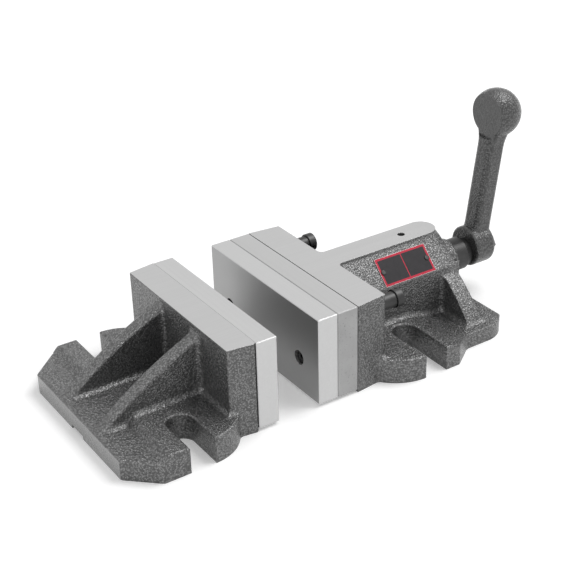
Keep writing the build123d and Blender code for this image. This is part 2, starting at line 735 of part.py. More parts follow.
# The right-hand pin lies on the side of positive X
left, right = pin_places
guide_pin_right = guide_pin(right, RIGHT_CROSS_PIN_ANGLE)
guide_pin_right.label = "guide_pin_right"
guide_pin_left = guide_pin(left, LEFT_CROSS_PIN_ANGLE)
guide_pin_left.label = "guide_pin_left"
guide_collar_right = guide_collar(right, RIGHT_CROSS_PIN_ANGLE)
guide_collar_right.label = "guide_collar_right"
guide_collar_left = guide_collar(left, LEFT_CROSS_PIN_ANGLE)
guide_collar_left.label = "guide_collar_left"
collar_pin_right = collar_pin(right, RIGHT_CROSS_PIN_ANGLE)
collar_pin_right.label = "collar_pin_right"
collar_pin_left = collar_pin(left, LEFT_CROSS_PIN_ANGLE)
collar_pin_left.label = "collar_pin_left"

# The handle's hub sits a little above the screw's axis. Its arm leans back: on the arm's plane, Y
# runs along the arm.
lean = radians(CRANK_ANGLE)
hub_height = SCREW_HEIGHT + HUB_RISE
arm_plane = Plane(
    origin=(0, (hub_front + hub_back) / 2, hub_height),
    x_dir=(-1, 0, 0),
    z_dir=(0, cos(lean), -sin(lean)),
)
ball_y = (hub_front + hub_back) / 2 + CRANK_LENGTH * sin(lean)
ball_z = hub_height + CRANK_LENGTH * cos(lean)
ball_root_radius = sqrt(BALL_RADIUS**2 - (ARM_THICKNESS / 2) ** 2)
with BuildPart() as hub:
    with BuildSketch(facing_back(hub_front, hub_height)):
        Circle(HUB_RADIUS)
    extrude(amount=HUB_LENGTH)
    rims = hub.edges().filter_by(GeomType.CIRCLE).sort_by(Axis.Y)
    fillet(rims[0], HUB_FRONT_EDGE)
    fillet(rims[-1], HUB_BACK_EDGE)

# A round flat is cut into the ball and the arm on the side of the vise
with BuildPart() as ball_flat:
    with BuildSketch(facing_front(ball_y - BALL_FLAT_DISTANCE, ball_z)):
        Circle(BALL_RADIUS)
    extrude(amount=BALL_RADIUS)

with BuildPart() as ball:
    with Locations((0, ball_y, ball_z)):
        Sphere(BALL_RADIUS)
    add(ball_flat.part, mode=Mode.SUBTRACT)

with BuildPart() as handle:
    with BuildSketch(arm_plane) as arm_outline:
        Circle(HUB_RADIUS - HUB_FRONT_EDGE)
        with Locations((0, CRANK_LENGTH)):
            Circle(ball_root_radius)
        with Locations((0, CRANK_LENGTH / 2)):
            Rectangle(ARM_WIDTH, CRANK_LENGTH)
        fillet(arm_outline.vertices().sort_by(Axis.Y)[:2], HUB_BLEND_RADIUS)
        fillet(arm_outline.vertices().sort_by(Axis.Y)[-2:], BALL_BLEND_RADIUS)
        with Locations((0, -HUB_RADIUS / 2)):
            Rectangle(2 * HUB_RADIUS, HUB_RADIUS, mode=Mode.SUBTRACT)
    extrude(amount=ARM_THICKNESS / 2, both=True)
    arm_edges = handle.faces().filter_by(Axis(arm_plane.origin, arm_plane.z_dir)).edges()
    fillet(arm_edges.filter_by(lambda edge: edge.center().Z > hub_height + ARM_EDGE), ARM_EDGE)
    add(ball_flat.part, mode=Mode.SUBTRACT)
    add(hub.part)
    add(ball.part)
    with BuildSketch(facing_back(hub_front, SCREW_HEIGHT)):
        Rectangle(TANG_WIDTH + 2 * SCREW_FIT, TANG_WIDTH + 2 * SCREW_FIT)
    extrude(amount=HUB_LENGTH, mode=Mode.SUBTRACT)
handle.part.label = "handle"

with BuildPart() as handle_washer:
    with BuildSketch(facing_back(hub_back, SCREW_HEIGHT)):
        Circle(WASHER_RADIUS)
        Circle(END_SCREW_RADIUS + LOOSE_FIT, mode=Mode.SUBTRACT)
    extrude(amount=WASHER_THICKNESS)
    chamfer(handle_washer.faces().sort_by(Axis.Y)[-1].edges().sort_by(SortBy.LENGTH)[-1], FASTENER_EDGE)
handle_washer.part.label = "handle_washer"

with BuildPart() as handle_screw:
    with BuildSketch(facing_back(hub_back + WASHER_THICKNESS, SCREW_HEIGHT)):
        RegularPolygon(END_SCREW_FLATS / 2, 6, major_radius=False)
    extrude(amount=END_SCREW_HEAD)
    with BuildSketch(facing_front(hub_back + WASHER_THICKNESS, SCREW_HEIGHT)):
        Circle(END_SCREW_RADIUS)
    extrude(amount=END_SCREW_LENGTH)
handle_screw.part.label = "handle_screw"

# Blank plate on the slope and its two round-headed rivets
with BuildPart() as name_plate:
    with BuildSketch(slope):
        Rectangle(NAME_PLATE_LENGTH, NAME_PLATE_WIDTH)
        with Locations(*rivet_places):
            Circle(RIVET_RADIUS + TIGHT_FIT, mode=Mode.SUBTRACT)
    extrude(amount=NAME_PLATE_THICKNESS)
name_plate.part.label = "name_plate"

with BuildPart() as name_plate_rivets:
    with BuildSketch(slope.offset(NAME_PLATE_THICKNESS)):
        with Locations(*rivet_places):
            Circle(RIVET_HEAD_RADIUS)
    extrude(amount=RIVET_HEAD_HEIGHT)
    head_rims = name_plate_rivets.faces().filter_by(Axis(slope.origin, slope.z_dir)).sort_by(Axis.Z)[-2:]
    fillet(head_rims.edges(), RIVET_HEAD_HEIGHT - RIVET_HEAD_FLAT)
    with BuildSketch(slope.offset(NAME_PLATE_THICKNESS)):
        with Locations(*rivet_places):
            Circle(RIVET_RADIUS)
    extrude(amount=-RIVET_DEPTH)
name_plate_rivets.part.label = "name_plate_rivets"

os.makedirs("parts", exist_ok=True)
pieces = [
    fixed_jaw_casting.part,
    fixed_jaw_plate,
    fixed_plate_screws,
    screw_unit_body.part,
    moving_jaw_block.part,
    moving_jaw_plate,
    moving_plate_screws,
    guide_pin_left,
    guide_pin_right,
    guide_collar_left,
    guide_collar_right,
    collar_pin_left,
    collar_pin_right,
    thrust_pad.part,
    screw_keeper.part,
    keeper_screws.part,
    lead_screw.part,
    screw_nut.part,
    nut_set_screw.part,
    handle.part,
    handle_washer.part,
    handle_screw.part,
    name_plate.part,
    name_plate_rivets.part,
]
for piece in pieces:
    export_step(piece, f"parts/{piece.label}.step")
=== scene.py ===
# %% [markdown]
# # A two-piece milling vise
#
# Two castings stand on a machine table and face each other. Both are painted with a dark, hammered
# enamel. What touches the work is ground steel, and so are the tops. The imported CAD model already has
# every shape in its right place, so this lesson is mostly about finishes, light and the camera.

from functools import cached_property
from itertools import pairwise
from math import cos, pi, radians, sin, tau

import bmesh
import bpy
from mathutils import Matrix, Vector


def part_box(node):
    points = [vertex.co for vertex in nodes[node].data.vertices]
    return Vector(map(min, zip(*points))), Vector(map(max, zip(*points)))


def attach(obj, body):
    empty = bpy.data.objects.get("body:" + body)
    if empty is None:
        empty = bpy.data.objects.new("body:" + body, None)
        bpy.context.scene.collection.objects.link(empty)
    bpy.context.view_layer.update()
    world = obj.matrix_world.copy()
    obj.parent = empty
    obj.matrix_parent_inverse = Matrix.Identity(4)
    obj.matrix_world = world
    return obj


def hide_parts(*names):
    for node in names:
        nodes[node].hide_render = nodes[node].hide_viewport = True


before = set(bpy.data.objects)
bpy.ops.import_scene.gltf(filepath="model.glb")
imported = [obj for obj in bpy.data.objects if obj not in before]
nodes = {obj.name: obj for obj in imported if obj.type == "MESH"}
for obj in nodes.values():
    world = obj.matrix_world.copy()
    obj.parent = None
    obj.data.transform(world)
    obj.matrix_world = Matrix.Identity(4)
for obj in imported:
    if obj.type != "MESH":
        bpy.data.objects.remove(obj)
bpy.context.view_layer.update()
MM = 0.001
bpy.context.scene.view_settings.view_transform = "Standard"

# %% [markdown]
# ## The camera
#
# The photograph was taken with a fairly long lens, from above the near ends of the jaws. A camera is
# described here by where it stands and by three angles: how far round the vise it looks from, how far
# above it, and how far it is tilted to one side. Its axes are worked out from them, so nothing has to
# be aimed by eye.

# %% Place the camera
CAMERA_PLACE = Vector((736.85, -347.81, 542.01)) * MM
CAMERA_ROUND = radians(-32.9)
CAMERA_ABOVE = radians(28.56)
CAMERA_ROLL = radians(-1.6)
FOCAL_LENGTH = 81.85
SENSOR_WIDTH = 36.0

backward = Vector(
    (
        cos(CAMERA_ABOVE) * cos(CAMERA_ROUND),
        cos(CAMERA_ABOVE) * sin(CAMERA_ROUND),
        sin(CAMERA_ABOVE),
    )
)
level_right = Vector((0, 0, 1)).cross(backward).normalized()
level_up = backward.cross(level_right)
right = level_right * cos(CAMERA_ROLL) + level_up * sin(CAMERA_ROLL)
up = level_up * cos(CAMERA_ROLL) - level_right * sin(CAMERA_ROLL)

lens = bpy.data.cameras.new("camera")
lens.lens = FOCAL_LENGTH
lens.sensor_width = SENSOR_WIDTH
camera = bpy.data.objects.new("camera", lens)
turned = Matrix((right, up, backward)).transposed().to_4x4()
camera.matrix_world = Matrix.Translation(CAMERA_PLACE) @ turned
bpy.context.scene.collection.objects.link(camera)
bpy.context.scene.camera = camera
print("camera", [round(value, 3) for value in camera.location])

# %% [markdown]
# ## Writing trees as sums
#
# Materials and generated shapes are trees of nodes, and a tree built one link at a time is hard to
# read. The small class below stands for one output of a node. It knows the signs + - * < > and abs, so
# a mask can be written as an expression, and every sign adds one Math node.


# %% A value that can be used in sums
class Value:
    """One output socket of a tree, with the operators that the trees use."""

    def __init__(self, tree, socket):
        self.tree = tree
        self.socket = socket

    def __add__(self, other):
        return self.tree.math("ADD", self, other)

    __radd__ = __add__

    def __sub__(self, other):
        return self.tree.math("SUBTRACT", self, other)

    def __rsub__(self, other):
        return self.tree.math("SUBTRACT", other, self)

    def __mul__(self, other):
        return self.tree.math("MULTIPLY", self, other)

    __rmul__ = __mul__

    def __abs__(self):
        return self.tree.math("ABSOLUTE", self, 0)

    def __gt__(self, other):
        return self.tree.math("GREATER_THAN", self, other)

    def __lt__(self, other):
        return self.tree.math("LESS_THAN", self, other)


# %% [markdown]
# ## One way to add any node
#
# One method adds every node. It takes the node's type, then its settings, which are set first, and
# then the values or links of its sockets. Sockets are found by identifier, because some nodes have
# several sockets with the same name.


# %% A tree and its nodes
class Tree:
    """A tree of nodes under construction."""

    def __init__(self, tree):
        self.tree = tree
        tree.nodes.clear()

    def node(self, kind, settings=None, sockets=None, output=0):
        """Adds a node and returns one of its outputs, or the node itself where output is None."""
        node = self.tree.nodes.new(kind)
        for name, setting in (settings or {}).items():
            setattr(node, name, setting)
        for name, value in (sockets or {}).items():
            socket = self.find(node.inputs, name)
            if isinstance(value, Value):
                value = [value]
            if isinstance(value, list):
                for link in value:
                    self.tree.links.new(link.socket, socket)
            else:
                socket.default_value = value
        if output is None:
            return node
        return Value(self, self.find(node.outputs, output))

    @staticmethod
    def find(sockets, name):
        """A socket by its place, its identifier or its name."""
        if isinstance(name, int):
            return sockets[name]
        for socket in sockets:
            if socket.identifier == name:
                return socket
        return sockets[name]

    def math(self, operation, first, second):
        """Adds a Math node, for what Value has no sign for."""
        return self.node("ShaderNodeMath", {"operation": operation}, {0: first, 1: second})


# %% [markdown]
# ## Steps that come up in every finish
#
# A finish is the tree of a material or of the world. Its shorter methods are the words that the
# finishes below are written in: a place, a mix of two colours, a noise, a smooth step, a bump. A pair
# of numbers whose name ends in BETWEEN says where a smooth step begins and where it ends.


# %% A finish
CELL_SOFTNESS = 0.5
BEVEL_SAMPLES = 6
EDGE_BEGINS = 0.03
EDGE_IS_FULL = 0.20


class Finish(Tree):
    """A material, or the world, under construction."""

    def __init__(self, name, owner=None):
        self.owner = owner or bpy.data.materials.new(name)
        self.owner.use_nodes = True
        super().__init__(self.owner.node_tree)

    @cached_property
    def place(self):
        """Where a point lies on the object, in metres."""
        return self.node("ShaderNodeTexCoord", output="Object")

    @cached_property
    def spot(self):
        """The same place as three numbers: x, y and z."""
        return self.split(self.place)

    @cached_property
    def facing(self):
        """The way the surface faces, as three numbers between -1 and 1."""
        return self.split(self.node("ShaderNodeNewGeometry", output="Normal"))

    def split(self, vector):
        """The three numbers of a vector."""
        parts = self.node("ShaderNodeSeparateXYZ", sockets={"Vector": vector}, output=None)
        return [Value(self, output) for output in parts.outputs]

    def colour(self, factor, first, second):
        """Goes from the first colour to the second as the factor goes from 0 to 1."""
        sockets = {"Factor_Float": factor, "A_Color": first, "B_Color": second}
        return self.node("ShaderNodeMix", {"data_type": "RGBA"}, sockets, "Result_Color")

    def smooth(self, value, low, high):
        """0 where the value is at or below low, 1 where it is at or above high, and smooth between."""
        settings = {"interpolation_type": "SMOOTHSTEP"}
        sockets = {"Value": value, "From Min": low, "From Max": high}
        return self.node("ShaderNodeMapRange", settings, sockets, "Result")

    def stretched(self, factors):
        """The place on the object, with x, y and z each multiplied by their own factor."""
        sockets = {"Vector": self.place, "Scale": factors}
        return self.node("ShaderNodeMapping", {"vector_type": "POINT"}, sockets)

    def noise(self, size, detail=2.0, place=None):
        """Soft random values with features of about the given size in metres."""
        sockets = {"Vector": place or self.place, "Scale": 1 / size, "Detail": detail}
        return self.node("ShaderNodeTexNoise", {}, sockets, "Fac")

    def cells(self, size):
        """The distance from the middles of round cells: 0 at a middle, and about 0.7 between two."""
        sockets = {"Vector": self.place, "Scale": 1 / size, "Smoothness": CELL_SOFTNESS}
        return self.node("ShaderNodeTexVoronoi", {"feature": "SMOOTH_F1"}, sockets, "Distance")

    def bump(self, height, distance, below=None):
        """A normal from a height between 0 and 1 that stands for the given distance in metres."""
        sockets = {"Height": height, "Distance": distance}
        if below:
            sockets["Normal"] = below
        return self.node("ShaderNodeBump", {}, sockets, "Normal")

    def surface(self, **sockets):
        """A Principled shader. Spaces in its sockets' names are written as underscores."""
        named = {name.replace("_", " "): value for name, value in sockets.items()}
        return self.node("ShaderNodeBsdfPrincipled", {}, named)

    def mix(self, factor, first, second):
        """Goes from the first shader to the second as the factor goes from 0 to 1."""
        return self.node("ShaderNodeMixShader", {}, {0: factor, 1: first, 2: second})

    def rounded(self, radius):
        """The normal that the surface would have if its edges were rounded by the given radius."""
        return self.node("ShaderNodeBevel", {"samples": BEVEL_SAMPLES}, {"Radius": radius}, "Normal")

    def edges(self, radius):
        """1 along the sharp edges of the object and 0 a little way from them."""
        normal = self.node("ShaderNodeNewGeometry", output="Normal")
        sockets = {0: self.rounded(radius), 1: normal}
        alike = self.node("ShaderNodeVectorMath", {"operation": "DOT_PRODUCT"}, sockets, "Value")
        return self.smooth(1 - alike, EDGE_BEGINS, EDGE_IS_FULL)

    def finished(self, shader, kind="ShaderNodeOutputMaterial"):
        """Links the shader to the output and returns the material or the world."""
        self.node(kind, {}, {"Surface": shader}, None)
        print("finish", self.owner.name, "has", len(self.tree.nodes), "nodes")
        return self.owner


def grey(value):
    """A grey as a colour, where 0 is black and 1 is white."""
    return (value, value, value, 1)


# %% [markdown]
# ## Hammered enamel
#
# The castings are sprayed with a hammer-finish enamel: dark grey, glossy and grainy, because the paint
# draws together into beads about a millimetre across as it dries. Each bead catches the lamp on its
# own, so rounded corners and slopes glitter and flat places stay quiet. Small cells make the beads, and
# the colour is darkest in the hollows between them, as painted shade. A slower noise is the sand mould
# underneath, and along worn edges the paint is thin and looks paler.

# %% Make the enamel
BEAD = 1.4 * MM
GRAIN = 0.7 * MM
DRIFT = BEAD * 3
SAND = 9.0 * MM
BEAD_HEIGHT = 0.60 * MM
SAND_HEIGHT = 0.7 * MM
CAST_EDGE = 2.0 * MM
WORN_WIDTH = 0.8 * MM
WORN_PATCH = 3.0 * MM
WORN_BETWEEN = (0.40, 0.60)
HOLLOW_BETWEEN = (0.30, 1.0)
DARK_PAINT = 0.26
LIGHT_PAINT = 0.32
# The grey for the hollows is painted shade between the beads.
HOLLOW_SHADE = 0.095
# This light grey serves both the paler worn edges and the painted light on the ends of the bases.
THIN_AND_LIT_PAINT = 0.30
METAL_IN_PAINT = 0.6
PAINT_ROUGHNESS = 0.13


def enamel_shader(finish, tone=1.0, plain=0.0, pale=0.0, edge=CAST_EDGE):
    """The paint of a casting. Its beads fade with plain, and pale lightens its colour as painted light.
    """
    depth = finish.cells(BEAD)
    grain = finish.noise(GRAIN)
    sand = finish.noise(SAND, detail=3.0)
    drift = finish.noise(DRIFT, detail=1.0)
    height = (grain * 0.5 + drift * 0.3 - depth * 0.7) * (1 - plain * 0.8)
    hollows = finish.smooth(depth + grain * 0.6, *HOLLOW_BETWEEN)
    colour = finish.colour(sand, grey(DARK_PAINT * tone), grey(LIGHT_PAINT * tone))
    # Painted shade: the colour goes darker in the hollows between the beads.
    colour = finish.colour(hollows * (1 - plain * 0.6), colour, grey(HOLLOW_SHADE * tone))
    # Painted light: pale makes the colour lighter.
    colour = finish.colour(pale, colour, grey(THIN_AND_LIT_PAINT * tone))
    patches = finish.smooth(finish.noise(WORN_PATCH, detail=3.0), *WORN_BETWEEN)
    worn = finish.edges(WORN_WIDTH) * patches
    colour = finish.colour(worn * 0.7, colour, grey(THIN_AND_LIT_PAINT))
    rough = PAINT_ROUGHNESS + sand * 0.08 + hollows * 0.12
    slow = finish.bump(sand, SAND_HEIGHT, finish.rounded(edge))
    normal = finish.bump(height, BEAD_HEIGHT, slow)
    return finish.surface(Base_Color=colour, Metallic=METAL_IN_PAINT, Roughness=rough, Normal=normal)


# %% [markdown]
# ## Ground steel
#
# A surface grinder leaves fine straight lines. They are noise that is stretched more than a hundredfold
# along the table's travel, so each line is a tenth of a millimetre wide and about two centimetres long.
# Oil and handling leave faint stains. The sharp edges are broken with a stone, and their colour is made
# lighter as a painted highlight. The upright faces that grip the work are made darker, as painted shade.

# %% Make the ground steel
GRIND_WIDTH = 0.12 * MM
GRIND_BAND = GRIND_WIDTH * 14
GRIND_DEPTH = 0.010 * MM
GRIND_STRETCH = 160.0
ALONG_X = (1 / GRIND_STRETCH, 1.0, 1.0)
ALONG_Y = (1.0, 1 / GRIND_STRETCH, 1.0)
STAIN = 30.0 * MM
STONED_EDGE = 0.25 * MM
GROUND_ROUGHNESS = 0.28
GRIP_SHADE_BETWEEN = (0.90, 0.98)


def ground_shader(finish, along, tone):
    """Ground steel whose lines run along x or y."""
    lines = finish.noise(GRIND_WIDTH, place=finish.stretched(along))
    bands = finish.noise(GRIND_BAND, place=finish.stretched(along))
    stain = finish.noise(STAIN, detail=3.0)
    colour = finish.colour(bands, grey(tone * 0.93), grey(tone * 1.04))
    colour = finish.colour(stain * 0.35, colour, grey(tone * 0.85))
    # Painted shade: the faces that look along y, which grip the work, get a darker colour.
    grip_face_shade = finish.smooth(abs(finish.facing[1]), *GRIP_SHADE_BETWEEN)
    colour = finish.colour(grip_face_shade, colour, grey(tone * 0.62))
    # Painted highlight: the colour is lighter along the stoned edges.
    colour = finish.colour(finish.edges(STONED_EDGE) * 0.4, colour, grey(tone * 1.2))
    rough = GROUND_ROUGHNESS + lines * 0.10 + stain * 0.08
    normal = finish.bump(lines, GRIND_DEPTH, finish.rounded(STONED_EDGE))
    return finish.surface(Base_Color=colour, Metallic=1.0, Roughness=rough, Normal=normal)


PLATE_TONE = 0.56
ground = Finish("surface_ground_steel")
ground_steel = ground.finished(ground_shader(ground, ALONG_X, PLATE_TONE))

# %% [markdown]
# ## Castings with ground tops
#
# The grinder only reaches the highest faces of a casting, so the paint stops there. A mask that is 1
# above a height, and only where the surface faces up, chooses between the two finishes. The upright
# ends of both bases were dressed flat before painting, so their paint is smoother, and their colour is
# made lighter there as painted light.

# %% Paint and ground steel on one casting
jaw_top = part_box("fixed_jaw_plate")[1].z
GROUND_ABOVE = jaw_top - 0.15 * MM
CASTING_TONE = 0.53
LOOKS_UP = 0.9
ENDWISE_BETWEEN = (0.93, 0.99)
FIXED_BASE_END = -40.0 * MM
SCREW_BASE_END = 280.0 * MM
END_SMOOTHING_AND_LIGHT = 0.8


def ground_top(finish):
    """1 on the highest faces that look up, and 0 elsewhere."""
    return (finish.spot[2] > GROUND_ABOVE) * (finish.facing[2] > LOOKS_UP)


casting = Finish("enamel_with_ground_top")
on_top = ground_top(casting)
endwise = casting.smooth(abs(casting.facing[1]), *ENDWISE_BETWEEN)
at_an_end = (casting.spot[1] < FIXED_BASE_END) + (casting.spot[1] > SCREW_BASE_END)
# The ends get smoother paint, and pale lightens their colour as painted light.
dressed = endwise * at_an_end * END_SMOOTHING_AND_LIGHT
painted = enamel_shader(casting, plain=dressed, pale=dressed)
bright = ground_shader(casting, ALONG_Y, CASTING_TONE)
casting_finish = casting.finished(casting.mix(on_top, painted, bright))

# %% [markdown]
# ## The crank handle
#
# The handle has the same enamel, a little darker. The flat that was ground on its ball before it was
# painted is smoother, and its colour is darker, as painted shade. It is the only face so high up that
# looks straight to the front, so a mask on the height and on the way the surface faces finds it.

# %% Paint the handle
BALL_ABOVE = 120.0 * MM
LOOKS_TO_THE_FRONT = -0.995
crank = Finish("handle_enamel")
flat = (crank.facing[1] < LOOKS_TO_THE_FRONT) * (crank.spot[2] > BALL_ABOVE)
forged = enamel_shader(crank, tone=0.54, plain=0.20, edge=1.0 * MM)
# Painted shade: the flat's tone is lower than that of the rest of the handle.
smooth_shaded_flat = enamel_shader(crank, tone=0.44, plain=0.80, edge=0.3 * MM)
handle_finish = crank.finished(crank.mix(flat, forged, smooth_shaded_flat))

# %% [markdown]
# ## Smaller steel parts
#
# Turned pins and the screw are smooth and nearly black, with faint rings round their length. The
# block behind the moving plate is milled, so it is duller, and carries chips and scratches.

# %% Make the darker steels
TURNING_MARK = 0.25 * MM
TURNING_DEPTH = 0.01 * MM
ROUND_Y = (0.02, 1.0, 0.02)
TURNED_SMUDGE = 7.0 * MM
TURNED_EDGE = 0.3 * MM
TURNED_WORN_WIDTH = 0.5 * MM
BARE_STEEL = 0.3


def turned_steel(name, tone, roughness):
    """A material for turned metal, with fine rings round y."""
    finish = Finish(name)
    rings = finish.noise(TURNING_MARK, place=finish.stretched(ROUND_Y))
    smudge = finish.noise(TURNED_SMUDGE, detail=3.0)
    colour = finish.colour(smudge, grey(tone * 0.7), grey(tone * 1.3))
    colour = finish.colour(finish.edges(TURNED_WORN_WIDTH) * 0.5, colour, grey(BARE_STEEL))
    rough = roughness + smudge * 0.14 + rings * 0.06
    normal = finish.bump(rings, TURNING_DEPTH, finish.rounded(TURNED_EDGE))
    shader = finish.surface(Base_Color=colour, Metallic=1.0, Roughness=rough, Normal=normal)
    return finish.finished(shader)


MILLED_TONE = 0.38
MILLED_ROUGHNESS = 0.40
MILLED_EDGE = 0.4 * MM
MILLED_DEPTH = 0.03 * MM
MILLING_MARK = 0.3 * MM
MILLING_STRETCH = (1.0, 0.03, 1.0)
SCRATCH = 0.4 * MM
SCRATCH_STRETCH = (1.0, 1.0, 0.06)
MILLED_SMUDGE = 16.0 * MM
CHIP = 1.2 * MM
CHIP_BETWEEN = (0.62, 0.70)
MILLED_WORN_WIDTH = 0.7 * MM


def milled_shader(finish):
    """Milled steel with tool marks in two directions, chips and scratches."""
    lines = finish.noise(MILLING_MARK, detail=3.0, place=finish.stretched(MILLING_STRETCH))
    scratches = finish.noise(SCRATCH, detail=4.0, place=finish.stretched(SCRATCH_STRETCH))
    smudge = finish.noise(MILLED_SMUDGE, detail=4.0)
    chips = finish.smooth(finish.noise(CHIP, detail=3.0), *CHIP_BETWEEN)
    worn = finish.edges(MILLED_WORN_WIDTH)
    colour = finish.colour(smudge, grey(MILLED_TONE * 0.75), grey(MILLED_TONE * 1.15))
    colour = finish.colour(chips * 0.5, colour, grey(MILLED_TONE * 0.4))
    colour = finish.colour(worn * chips, colour, grey(MILLED_TONE * 1.8))
    rough = MILLED_ROUGHNESS + smudge * 0.16 + scratches * 0.10
    height = lines * 0.5 + scratches * 0.5 - chips * 0.6
    normal = finish.bump(height, MILLED_DEPTH, finish.rounded(MILLED_EDGE))
    return finish.surface(Base_Color=colour, Metallic=1.0, Roughness=rough, Normal=normal)


dark_steel = turned_steel("dark_turned_steel", tone=0.060, roughness=0.32)
black_steel = turned_steel("black_oxide_steel", tone=0.045, roughness=0.38)
bronze = turned_steel("turned_bronze", tone=0.30, roughness=0.30)
milled = Finish("milled_steel")
milled_finish = milled.finished(milled_shader(milled))

# %% [markdown]
# ## The moving jaw's block
#
# The block was milled all over and then ground on top with the plate in place, so only its upper face
# is bright.

# %% Mill the block and grind its top
BLOCK_TONE = 0.52
block = Finish("milled_block_with_ground_top")
block_top = ground_top(block)
sides = milled_shader(block)
bright = ground_shader(block, ALONG_X, BLOCK_TONE)
block_finish = block.finished(block.mix(block_top, sides, bright))

# %% [markdown]
# ## A blank name plate
#
# The sloping side carries a small riveted plate. Here it stays blank: two dark lacquered fields inside
# a plain coloured border, as an unprinted plate would look. The plate lies on a slope of 45 degrees,
# so the distance up the slope is the difference of Z and X, divided by the square root of two.

# %% Make the name plate's finish
plate_low, plate_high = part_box("name_plate")
plate_middle = (plate_low + plate_high) / 2
PLATE_HALF_LENGTH = (plate_high.y - plate_low.y) / 2
PLATE_HALF_WIDTH = 12.0 * MM
BORDER = 1.8 * MM
BARE_RIM = 0.15 * MM
DIVIDER = 0.8 * MM
WEAR = 4.0 * MM
LACQUER_ROUGHNESS = 0.30
FIELD_DEEP = (0.010, 0.009, 0.011, 1)
FIELD_PALE = (0.030, 0.026, 0.030, 1)
BORDER_DEEP = (0.46, 0.012, 0.040, 1)
BORDER_PALE = (0.62, 0.030, 0.065, 1)
lacquer = Finish("blank_name_plate")
x, y, z = lacquer.spot
along = abs(y - plate_middle.y)
up_slope = abs((z - x - plate_middle.z + plate_middle.x) * 0.5**0.5)
inset = lacquer.math("MINIMUM", PLATE_HALF_LENGTH - along, PLATE_HALF_WIDTH - up_slope)
wear = lacquer.noise(WEAR, detail=4.0)
field = lacquer.colour(wear, FIELD_DEEP, FIELD_PALE)
border = lacquer.colour(wear, BORDER_DEEP, BORDER_PALE)
lined = lacquer.math("MAXIMUM", inset < BARE_RIM + BORDER, along < DIVIDER / 2)
paint = lacquer.colour(lined, field, border)
bare = inset < BARE_RIM
rough = LACQUER_ROUGHNESS + wear * 0.16
printed = lacquer.surface(Base_Color=paint, Roughness=rough, Specular_IOR_Level=0.25)
metal = lacquer.surface(Base_Color=grey(0.5), Metallic=1.0, Roughness=0.35)
name_plate_finish = lacquer.finished(lacquer.mix(bare, printed, metal))

# %% [markdown]
# ## Give every part its finish
#
# A CAD node keeps its mesh and only changes what its material slots hold. The lead screw and the cap
# screws of the plates are replaced by finer ones further on.

# %% Hand out the finishes
finish_of = {
    "fixed_jaw_casting": casting_finish,
    "screw_unit_body": casting_finish,
    "handle": handle_finish,
    "fixed_jaw_plate": ground_steel,
    "moving_jaw_plate": ground_steel,
    "moving_jaw_block": block_finish,
    "lead_screw": dark_steel,
    "guide_pin_left": dark_steel,
    "guide_pin_right": dark_steel,
    "guide_collar_left": dark_steel,
    "guide_collar_right": dark_steel,
    "thrust_pad": milled_finish,
    "screw_nut": bronze,
    "name_plate": name_plate_finish,
    "name_plate_rivets": dark_steel,
}
for name, node in nodes.items():
    for slot in node.material_slots:
        slot.material = finish_of.get(name, black_steel)
print("finished", len(nodes), "nodes")

# %% [markdown]
# ## Turned parts with flats, sockets and knurls
#
# Screws are round nearly everywhere, but a socket is a hexagon and a knurled head is ribbed. Both can
# still be made as a stack of rings along one line: every ring has the same number of points, and its
# own rule for their distance from the middle. So one helper makes all of them, and bmesh is used for
# it, because a loop over rings is shorter in Python than in nodes.


# %% A stack of rings
RING_POINTS = 96
SHARP = radians(28)
KNURL_BOTTOM = 0.95


def round_ring(turn):
    """Every point lies at the full size."""
    return 1.0


def knurled_ring(turn):
    """Every other point lies at the bottom of a groove, a twentieth of the radius deep."""
    return 1.0 if round(turn / tau * RING_POINTS) % 2 else KNURL_BOTTOM


def flat_sided(count):
    """A ring with straight sides, whose size is the distance from its middle to a side."""
    half = pi / count
    return lambda turn: 1 / cos((turn + half) % (2 * half) - half)


def turned_mesh(name, rings):
    """A closed mesh along y, from rings that are each a place on y, a size and a rule."""
    shell = bmesh.new()
    turns = [tau * step / RING_POINTS for step in range(RING_POINTS)]
    loops = []
    for along, size, rule in rings:
        loop = [(size * rule(turn) * cos(turn), along, size * rule(turn) * sin(turn)) for turn in turns]
        loops.append([shell.verts.new(point) for point in loop])
    for near, far in pairwise(loops):
        for step in range(RING_POINTS):
            shell.faces.new((near[step - 1], far[step - 1], far[step], near[step]))
    for end in (loops[0], loops[-1]):
        shell.faces.new(end)
    bmesh.ops.recalc_face_normals(shell, faces=shell.faces)
    for face in shell.faces:
        face.smooth = True
    for edge in shell.edges:
        edge.smooth = edge.calc_face_angle() < SHARP
    mesh = bpy.data.meshes.new(name)
    shell.to_mesh(mesh)
    shell.free()
    print(name, "has", len(mesh.polygons), "faces")
    return mesh


# %% [markdown]
# ## Shapes that follow a rule
#
# Repeats and helixes are left to Geometry Nodes. A form below is such a tree. Its sizes are inputs
# with names, its first input is the mesh that it starts from, and its result is kept as a plain mesh.


